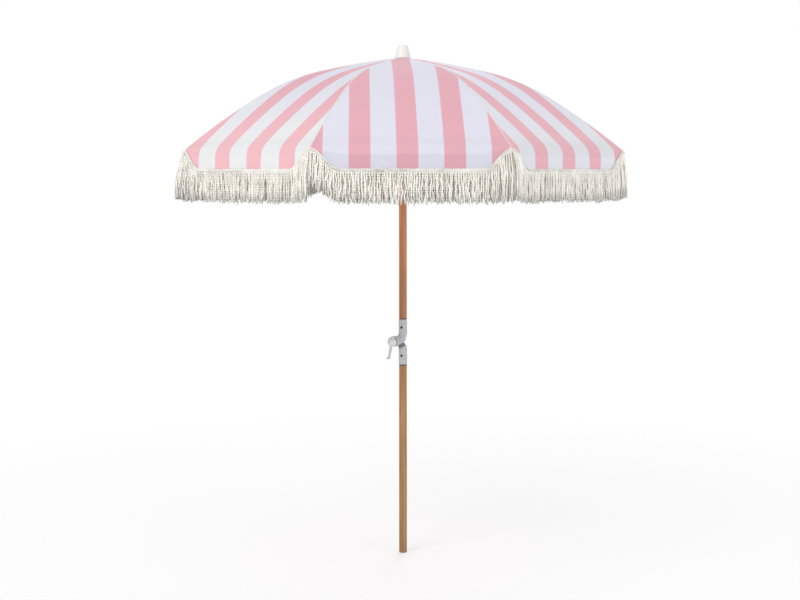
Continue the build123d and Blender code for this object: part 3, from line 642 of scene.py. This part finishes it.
SIDES = 4                   # sides of a cord, which make its end caps quads too
HEADER = 0.014              # height of the braided header
HEADER_OUT = 0.0018         # distance of the fringe in front of the cloth
STRAND_BEAT = 0.0075        # distance between the crossings of the header's strands
CORD_TWIST = 0.78           # turn of a cord from one ring to the next, radians
BUNCH = 0.032               # cords this near to a rib tip hang as one bunch, which stays whole in the fold
FRINGE_LOOKS = [COTTON, COTTON_HALF_SHADED, COTTON_SHADED, BRAID]
BRAID_LOOK = 3
# looks 1 and 2 are the cotton with painted shade, for the cords further back
# layers of cords: spacing along the hem, distance out from the hem, radius, rings per cord and look
LAYERS = (
    (0.0088, 0.0024, 0.0028, 24, 0),
    (0.0088, 0.0004, 0.0024, 24, 1),
    (0.0062, -0.0016, 0.0020, 8, 2),
    (0.0080, -0.0034, 0.0027, 12, 1),
)
# how far the bunched cords at each corner reach down to the level of the others: 1 is all the way.
# the first number is for the half panel after a rib, the second for the half before it
CORNER_REACH = ((0.12, 0.90), (0.85, 0.95), (0.8, 0.8), (0.6, 0.8),
                (0.8, 0.7), (0.7, 0.8), (0.8, 0.7), (0.85, 0.9))


def tubes(paths, radii, phase, twist=0.0):
    """Closed square tubes along many paths at once, each turned by twist from ring to ring like a laid cord.

    paths is (n, k, 3), radii is (n, k) and phase, the turn of the first ring, is (n,). Returns vertices,
    quads, a UV of turn and length along the cord, and a UV of the share of its length.
    """
    n, k, _ = paths.shape
    tangent = np.gradient(paths, axis=1)
    tangent /= np.linalg.norm(tangent, axis=2, keepdims=True)
    ref = np.zeros_like(tangent)
    steep = np.abs(tangent[..., 2]) > 0.7
    ref[..., 2] = ~steep
    ref[..., 0] = steep
    side_a = np.cross(tangent, ref)
    side_a /= np.linalg.norm(side_a, axis=2, keepdims=True)
    side_b = np.cross(tangent, side_a)
    angle = 2 * math.pi * np.arange(SIDES) / SIDES
    turn = angle[None, None, :] + phase[:, None, None] + twist * np.arange(k)[None, :, None]
    ring = (side_a[:, :, None] * np.cos(turn)[..., None] + side_b[:, :, None] * np.sin(turn)[..., None])
    verts = paths[:, :, None] + ring * radii[:, :, None, None]
    steps = np.linalg.norm(np.diff(paths, axis=1), axis=2)
    length = np.concatenate([np.zeros((n, 1)), np.cumsum(steps, 1)], 1)
    uv = np.stack(np.broadcast_arrays(angle[None, None, :] / (2 * math.pi), length[:, :, None]), -1)
    base = (np.arange(n) * k * SIDES)[:, None, None]
    here = base + (np.arange(k - 1) * SIDES)[None, :, None]
    corner = np.arange(SIDES)[None, None, :]
    following = (corner + 1) % SIDES
    quads = np.stack([here + corner, here + following, here + SIDES + following, here + SIDES + corner], -1)
    first_cap = base[:, 0, :] + np.arange(SIDES)[None, ::-1]
    last_cap = base[:, 0, :] + (k - 1) * SIDES + np.arange(SIDES)[None, :]
    faces = np.concatenate([quads.reshape(-1, SIDES), first_cap, last_cap])
    share = np.broadcast_to(np.linspace(0, 1, k)[None, :, None], (n, k, SIDES))
    return verts.reshape(-1, 3), faces, uv.reshape(-1, 2), np.stack([share, share], -1).reshape(-1, 2)


# the hem of half a panel as a path, so that cords are spaced along its length and not across the panel
HEM_U = np.linspace(0, RIM_HALF, 600)
HEM_DEPTHS = hem_depth(HEM_U)
HEM_RUN = np.concatenate([[0], np.cumsum(np.hypot(np.diff(HEM_U), np.diff(HEM_DEPTHS)))])


def on_hem(run):
    """Distance from the panel's middle, and depth, of the point this far along the hem."""
    u = np.interp(run, HEM_RUN, HEM_U)
    return u, np.interp(u, HEM_U, HEM_DEPTHS)


def cord_layer(panel, side, reach, layer, rng):
    """Paths and radii of one layer's cords, and the distance from the panel's middle where each is sewn."""
    spacing, outward, cord_r, rings, _ = LAYERS[layer]
    k = np.linspace(0, 1, rings)
    at = np.arange(spacing * (0.25 + 0.5 * (layer == 1)), HEM_RUN[-1], spacing)
    at = np.clip(at + rng.normal(0, 0.0009, len(at)), 0.0005, HEM_RUN[-1] - 0.0005)
    count = len(at)
    u0, d0 = on_hem(at)
    length = FRINGE - HEADER - 0.001 + rng.normal(0, 0.0034, count) - 0.003 * min(layer, 2)
    length = np.clip(length, 0.092, 0.119) + reach * (HEM_DROP - d0)
    # neighbours lean the same way, then each cord waves and wanders on its own
    clump = sum(np.sin(at * f + rng.uniform(0, 6.28)) * a for f, a in ((70, 0.0024), (160, 0.0020)))
    turns = rng.uniform(0.8, 2.4, (count, 1))
    wave = rng.normal(0, 0.0013, (count, 1))
    wave = wave * np.sin(2 * math.pi * turns * k + rng.uniform(0, 6.28, (count, 1)))
    kink = rng.normal(0, 0.0011 / math.sqrt(rings / 10), (count, rings)).cumsum(1)
    sway = clump[:, None] * k ** 1.4 + (wave + kink) * np.minimum(1, 3 * k)
    limit = np.maximum(RIM_HALF - u0[:, None] - 0.001, 0)
    u = np.maximum(np.minimum(u0[:, None] + sway, u0[:, None] + limit), 0.0006)
    top = HEADER - 0.004 if layer < 2 else 0.003
    down = d0[:, None] + top + (length[:, None] + HEADER - 0.004 - top) * k
    push = outward + rng.normal(0, 0.0009, (count, 1)) * k + 0.0006 * np.sin(at * 300)[:, None] * k
    radius = cord_r * rng.uniform(0.75, 1.2, (count, 1)) * (1 + 0.12 * rng.normal(0, 1, (count, rings)))
    radius[:, 0] *= 0.8
    radius[:, -1] *= 0.5
    return hanging(panel, side, u, down, HEADER_OUT + push), np.clip(radius, 0.0008, 0.0036), u0


def header(panel, side):
    """Braid along the hem: four strands that cross each other, between two edging cords."""
    steps = 190
    along = np.linspace(0, HEM_RUN[-1], steps)
    u, depth = on_hem(along)
    cords = []
    for strand in range(4):
        beat = along / STRAND_BEAT * math.pi + strand * math.pi / 2
        outward = HEADER_OUT + (0.0030 + 0.0008 * np.cos(beat))
        cords.append((hanging(panel, side, u, depth + 0.0068 + 0.0046 * np.sin(beat), outward), 0.0013))
    for offset in (0.0006, 0.0128):
        outward = HEADER_OUT + np.full_like(u, 0.0026)
        cords.append((hanging(panel, side, u, depth + offset, outward), 0.0015))
    return [(*tubes(path[None], np.full((1, steps), radius), np.zeros(1)), BRAID_LOOK)
            for path, radius in cords]


def half_fringe(panel, side, reach, seed):
    """Fringe of half a panel as groups of tubes: the cords and the header, and the bunch at the rib tip."""
    rng = np.random.default_rng(seed)
    groups, bunch = [], []
    for layer, (*_, look) in enumerate(LAYERS):
        paths, radii, sewn = cord_layer(panel, side, reach, layer, rng)
        phase = rng.uniform(0, 1.57, len(paths))
        bunched = sewn > RIM_HALF - BUNCH
        for cords, chosen in ((groups, ~bunched), (bunch, bunched)):
            cords.append((*tubes(paths[chosen], radii[chosen], phase[chosen], CORD_TWIST), look))
    return groups + header(panel, side), bunch


def fringe_mesh(name, groups):
    """One object of all the tubes in groups, each with the place of its look in FRINGE_LOOKS."""
    verts, faces, cord_uvs, share_uvs, looks = zip(*groups)
    starts = np.cumsum([0] + [len(v) for v in verts[:-1]])
    faces = [quads + start for quads, start in zip(faces, starts)]
    uv_maps = {"cord": np.concatenate(cord_uvs), "share": np.concatenate(share_uvs)}
    numbers = np.concatenate([np.full(len(quads), look) for quads, look in zip(faces, looks)])
    return make_mesh(name, np.concatenate(verts), np.concatenate(faces), uv_maps, FRINGE_LOOKS, numbers)


def hang(piece, number, part):
    """Puts a hanging piece on its rib's valance body, to be squeezed sideways as the umbrella closes."""
    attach(piece, f"valance_{number}")
    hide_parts(f"{part}_{number}")
    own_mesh(piece)


for i in range(RIBS):
    number = i + 1
    radial, tangent = rib_direction(i)
    bunches = []
    for label, panel, side in (("left", i, -1), ("right", (i - 1) % RIBS, 1)):
        verts, uvs = half_valance(panel, side)
        faces = grid_faces(FACING_ROWS + VALANCE_ROWS, VALANCE_COLS)
        if side > 0:
            faces = faces[:, ::-1]
        valance = make_mesh(f"valance_{number}_{label}", verts, faces, uvs, [CANVAS])
        weld(valance)
        thicken(valance, HANGING_CLOTH)
        seed = 1000 + 10 * i + (side > 0)
        cords, bunch = half_fringe(panel, side, CORNER_REACH[i][side > 0], seed)
        fringe = fringe_mesh(f"fringe_{number}_{label}", cords)
        bunches += bunch
        hang(valance, number, "valance")
        hang(fringe, number, "fringe")
    bunch = fringe_mesh(f"fringe_{number}_bunch", bunches)
    hang(bunch, number, "fringe")


# ---- Stage, light and camera --------------------------------------------------------------------------
FLOOR = 40.0                # half the floor's width
FLOOR_GAP = 0.0006          # floor below the pole's end


def stage_floor():
    """Pale floor that fades to plain white away from the pole."""
    mesh = bpy.data.meshes.new("floor")
    corners = [(-FLOOR, -FLOOR, 0), (FLOOR, -FLOOR, 0), (FLOOR, FLOOR, 0), (-FLOOR, FLOOR, 0)]
    mesh.from_pydata(corners, [], [(0, 1, 2, 3)])
    floor = bpy.data.objects.new("floor", mesh)
    floor.location.z = -FLOOR_GAP
    bpy.context.scene.collection.objects.link(floor)
    n = Nodes("floor_pale")
    where = n.add("ShaderNodeNewGeometry").outputs["Position"]
    away = n.add("ShaderNodeVectorMath", {0: where}, operation="LENGTH").outputs["Value"]
    fade = n.band(away, 0.2, 3.2, 0.45, 1.0)
    n.finish(Base_Color=(0.88, 0.88, 0.88, 1), Roughness=0.9, Specular_IOR_Level=0.1)
    plain = n.add("ShaderNodeEmission", {"Color": (1, 1, 1, 1), "Strength": 1.0})
    both = n.add("ShaderNodeMixShader", {0: fade, 1: n.bsdf.outputs[0], 2: plain.outputs[0]})
    # seen from below the floor is clear, so that the underside of the canopy can be looked at
    below = n.add("ShaderNodeNewGeometry").outputs["Backfacing"]
    clear = n.add("ShaderNodeBsdfTransparent")
    sided = n.add("ShaderNodeMixShader", {0: below, 1: both.outputs[0], 2: clear.outputs[0]})
    n.tree.links.new(sided.outputs[0], n.out.inputs[0])
    mesh.materials.append(n.mat)


def area_light(name, place, target, size, power, colour=(1, 1, 1)):
    """Round lamp at place that points at target."""
    data = bpy.data.lights.new(name, "AREA")
    data.shape = "DISK"
    data.size = size
    data.energy = power
    data.color = colour
    lamp = bpy.data.objects.new(name, data)
    lamp.location = place
    lamp.rotation_euler = (Vector(target) - Vector(place)).to_track_quat("-Z", "Y").to_euler()
    bpy.context.scene.collection.objects.link(lamp)


def studio():
    """Soft studio light: a white background that lights the object a little less, and three lamps."""
    world = bpy.data.worlds.new("studio")
    bpy.context.scene.world = world
    world.use_nodes = True
    nodes, links = world.node_tree.nodes, world.node_tree.links
    back = nodes["Background"]
    path = nodes.new("ShaderNodeLightPath")
    scale = nodes.new("ShaderNodeMapRange")
    scale.inputs["To Min"].default_value = 0.68
    scale.inputs["To Max"].default_value = 1.0
    links.new(path.outputs["Is Camera Ray"], scale.inputs["Value"])
    links.new(scale.outputs[0], back.inputs["Strength"])
    back.inputs["Color"].default_value = (1, 1, 1, 1)
    area_light("key", (-3.2, -3.6, 4.6), (0, 0, 1.5), 3.2, 138, (1.0, 0.985, 0.965))
    area_light("fill", (3.6, -3.4, 2.6), (0, 0, 1.5), 3.2, 56, (0.97, 0.98, 1.0))
    area_light("back", (1.0, 4.2, 4.2), (0, 0, 1.7), 2.6, 78)


stage_floor()
studio()

CAMERA_FAR, CAMERA_HEIGHT = 5.12, 1.537
CAMERA_TURN = math.radians(2.0)         # the camera's place, left of the front panel's middle
CAMERA_YAW = math.radians(1.5)          # how far right of the pole it looks
CAMERA_DIP = math.radians(1.5)          # and how far down
camera_data = bpy.data.cameras.new("camera")
camera_data.sensor_width = 36.0
camera_data.lens = 56.6
# the frame is moved down and left over the camera's picture, because the camera is nearly level
camera_data.shift_x, camera_data.shift_y = -0.0447, -0.1128
camera = bpy.data.objects.new("camera", camera_data)
camera.location = (-CAMERA_FAR * math.sin(CAMERA_TURN), -CAMERA_FAR * math.cos(CAMERA_TURN), CAMERA_HEIGHT)
camera.rotation_euler = (math.pi / 2 - CAMERA_DIP, 0, -CAMERA_TURN - CAMERA_YAW)
bpy.context.scene.collection.objects.link(camera)
bpy.context.scene.camera = camera
bpy.context.scene.view_settings.view_transform = "Standard"
